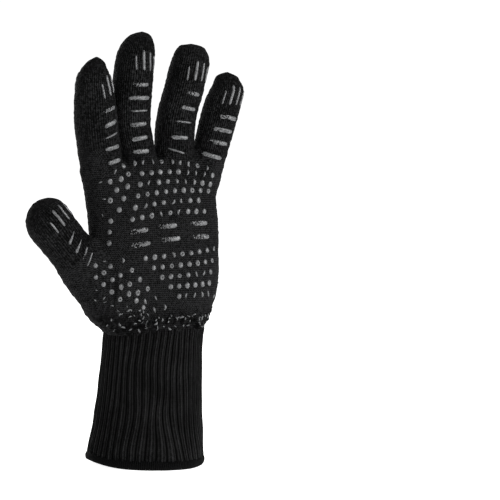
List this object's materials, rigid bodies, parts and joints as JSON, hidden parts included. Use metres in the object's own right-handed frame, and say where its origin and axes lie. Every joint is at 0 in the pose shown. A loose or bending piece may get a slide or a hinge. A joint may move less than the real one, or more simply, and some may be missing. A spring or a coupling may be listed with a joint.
{
  "type": "heat resistant glove",
  "caption": "Left-hand knitted heat glove with a long ribbed cuff, soft liner and raised silicone grip dots, bars and fingertip strips; fingers bend.",
  "frame": {"origin": "middle of the cuff opening, level with the bottom of the hem", "axes": "+Z from the cuff opening to the fingertips, -Y out of the palm, -X towards the thumb"},
  "size_m": [0.174, 0.0624, 0.3249],
  "materials": {
    "aramid_knit": "matte fine knit",
    "rib_knit": "matte ribbed knit",
    "hem_binding": "matte knit binding",
    "cotton_liner": "matte soft cotton",
    "silicone_print": "satin silicone"
  },
  "bodies": {
    "hand": {"back_bars": "silicone_print", "back_dots_heel": "silicone_print", "back_dots_thumb": "silicone_print", "back_dots_upper": "silicone_print", "finger_root_bars": "silicone_print", "hand_liner": "cotton_liner", "hand_shell_lower": "aramid_knit", "hand_shell_upper": "aramid_knit", "palm_bars": "silicone_print", "palm_dots_heel": "silicone_print", "palm_dots_thumb": "silicone_print", "palm_dots_upper": "silicone_print"},
    "cuff": {"cuff_hem": "hem_binding", "cuff_liner": "cotton_liner", "cuff_rib": "rib_knit"},
    "index_base": {"index_bars_base": "silicone_print", "index_liner_base": "cotton_liner", "index_shell_base": "aramid_knit"},
    "index_middle": {"index_bars_middle": "silicone_print", "index_liner_middle": "cotton_liner", "index_shell_middle": "aramid_knit"},
    "index_tip": {"index_liner_tip": "cotton_liner", "index_shell_tip": "aramid_knit", "index_tip_strips": "silicone_print"},
    "little_base": {"little_bars_base": "silicone_print", "little_liner_base": "cotton_liner", "little_shell_base": "aramid_knit"},
    "little_middle": {"little_bars_middle": "silicone_print", "little_liner_middle": "cotton_liner", "little_shell_middle": "aramid_knit"},
    "little_tip": {"little_liner_tip": "cotton_liner", "little_shell_tip": "aramid_knit", "little_tip_strips": "silicone_print"},
    "middle_base": {"middle_bars_base": "silicone_print", "middle_liner_base": "cotton_liner", "middle_shell_base": "aramid_knit"},
    "middle_middle": {"middle_bars_middle": "silicone_print", "middle_liner_middle": "cotton_liner", "middle_shell_middle": "aramid_knit"},
    "middle_tip": {"middle_liner_tip": "cotton_liner", "middle_shell_tip": "aramid_knit", "middle_tip_strips": "silicone_print"},
    "ring_base": {"ring_bars_base": "silicone_print", "ring_liner_base": "cotton_liner", "ring_shell_base": "aramid_knit"},
    "ring_middle": {"ring_bars_middle": "silicone_print", "ring_liner_middle": "cotton_liner", "ring_shell_middle": "aramid_knit"},
    "ring_tip": {"ring_liner_tip": "cotton_liner", "ring_shell_tip": "aramid_knit", "ring_tip_strips": "silicone_print"},
    "thumb_base": {"thumb_bars_base": "silicone_print", "thumb_liner_base": "cotton_liner", "thumb_shell_base": "aramid_knit"},
    "thumb_tip": {"thumb_liner_tip": "cotton_liner", "thumb_shell_tip": "aramid_knit", "thumb_tip_strips": "silicone_print"}
  },
  "joints": [
    {"name": "wrist_bend", "type": "hinge", "parent": "cuff", "child": "hand", "pos_m": [0, 0, 0.098], "axis": [1, 0, 0], "range_deg": [-16, 16], "stiffness_Nm_per_rad": 0.8},
    {"name": "index_base_bend", "type": "hinge", "parent": "hand", "child": "index_base", "pos_m": [-0.0576, -0.01405, 0.2405], "axis": [0.9827, 0, 0.1853], "range_deg": [-8, 60], "stiffness_Nm_per_rad": 0.03},
    {"name": "index_middle_bend", "type": "hinge", "parent": "index_base", "child": "index_middle", "pos_m": [-0.0612, -0.01395, 0.26], "axis": [0.9881, 0, 0.1535], "range_deg": [0, 64], "stiffness_Nm_per_rad": 0.03},
    {"name": "index_tip_bend", "type": "hinge", "parent": "index_middle", "child": "index_tip", "pos_m": [-0.0636, -0.01343, 0.279], "axis": [0.9972, 0, 0.0745], "range_deg": [0, 40], "stiffness_Nm_per_rad": 0.03},
    {"name": "middle_base_bend", "type": "hinge", "parent": "hand", "child": "middle_base", "pos_m": [-0.0259, -0.00914, 0.2415], "axis": [0.9862, 0, 0.1658], "range_deg": [-8, 60], "stiffness_Nm_per_rad": 0.03},
    {"name": "middle_middle_bend", "type": "hinge", "parent": "middle_base", "child": "middle_middle", "pos_m": [-0.0308, -0.00934, 0.2725], "axis": [0.9973, 0, 0.0741], "range_deg": [0, 64], "stiffness_Nm_per_rad": 0.03},
    {"name": "middle_tip_bend", "type": "hinge", "parent": "middle_middle", "child": "middle_tip", "pos_m": [-0.0306, -0.00919, 0.296], "axis": [0.9978, 0, -0.0664], "range_deg": [0, 40], "stiffness_Nm_per_rad": 0.03},
    {"name": "ring_base_bend", "type": "hinge", "parent": "hand", "child": "ring_base", "pos_m": [0.0068, -0.00914, 0.243], "axis": [0.9983, 0, -0.0579], "range_deg": [-8, 60], "stiffness_Nm_per_rad": 0.03},
    {"name": "ring_middle_bend", "type": "hinge", "parent": "ring_base", "child": "ring_middle", "pos_m": [0.0096, -0.00934, 0.2754], "axis": [0.9914, 0, -0.1305], "range_deg": [0, 64], "stiffness_Nm_per_rad": 0.03},
    {"name": "ring_tip_bend", "type": "hinge", "parent": "ring_middle", "child": "ring_tip", "pos_m": [0.0129, -0.00924, 0.294], "axis": [0.9888, 0, -0.1489], "range_deg": [0, 40], "stiffness_Nm_per_rad": 0.03},
    {"name": "little_base_bend", "type": "hinge", "parent": "hand", "child": "little_base", "pos_m": [0.0382, -0.00822, 0.2408], "axis": [0.9814, 0, -0.1922], "range_deg": [-8, 60], "stiffness_Nm_per_rad": 0.03},
    {"name": "little_middle_bend", "type": "hinge", "parent": "little_base", "child": "little_middle", "pos_m": [0.0418, -0.00833, 0.2602], "axis": [0.9827, 0, -0.1853], "range_deg": [0, 64], "stiffness_Nm_per_rad": 0.03},
    {"name": "little_tip_bend", "type": "hinge", "parent": "little_middle", "child": "little_tip", "pos_m": [0.0454, -0.00812, 0.279], "axis": [0.9907, 0, -0.1359], "range_deg": [0, 40], "stiffness_Nm_per_rad": 0.03},
    {"name": "thumb_base_bend", "type": "hinge", "parent": "hand", "child": "thumb_base", "pos_m": [-0.0729, -0.01408, 0.1563], "axis": [0.6708, 0, 0.7417], "range_deg": [-8, 48], "stiffness_Nm_per_rad": 0.03},
    {"name": "thumb_tip_bend", "type": "hinge", "parent": "thumb_base", "child": "thumb_tip", "pos_m": [-0.0876, -0.01372, 0.1696], "axis": [0.6708, 0, 0.7416], "range_deg": [0, 58], "stiffness_Nm_per_rad": 0.03}
  ],
  "couplings": [
    {"joint": "index_tip_bend", "follows": "index_middle_bend", "ratio": 0.625},
    {"joint": "middle_tip_bend", "follows": "middle_middle_bend", "ratio": 0.625},
    {"joint": "ring_tip_bend", "follows": "ring_middle_bend", "ratio": 0.625},
    {"joint": "little_tip_bend", "follows": "little_middle_bend", "ratio": 0.625}
  ]
}
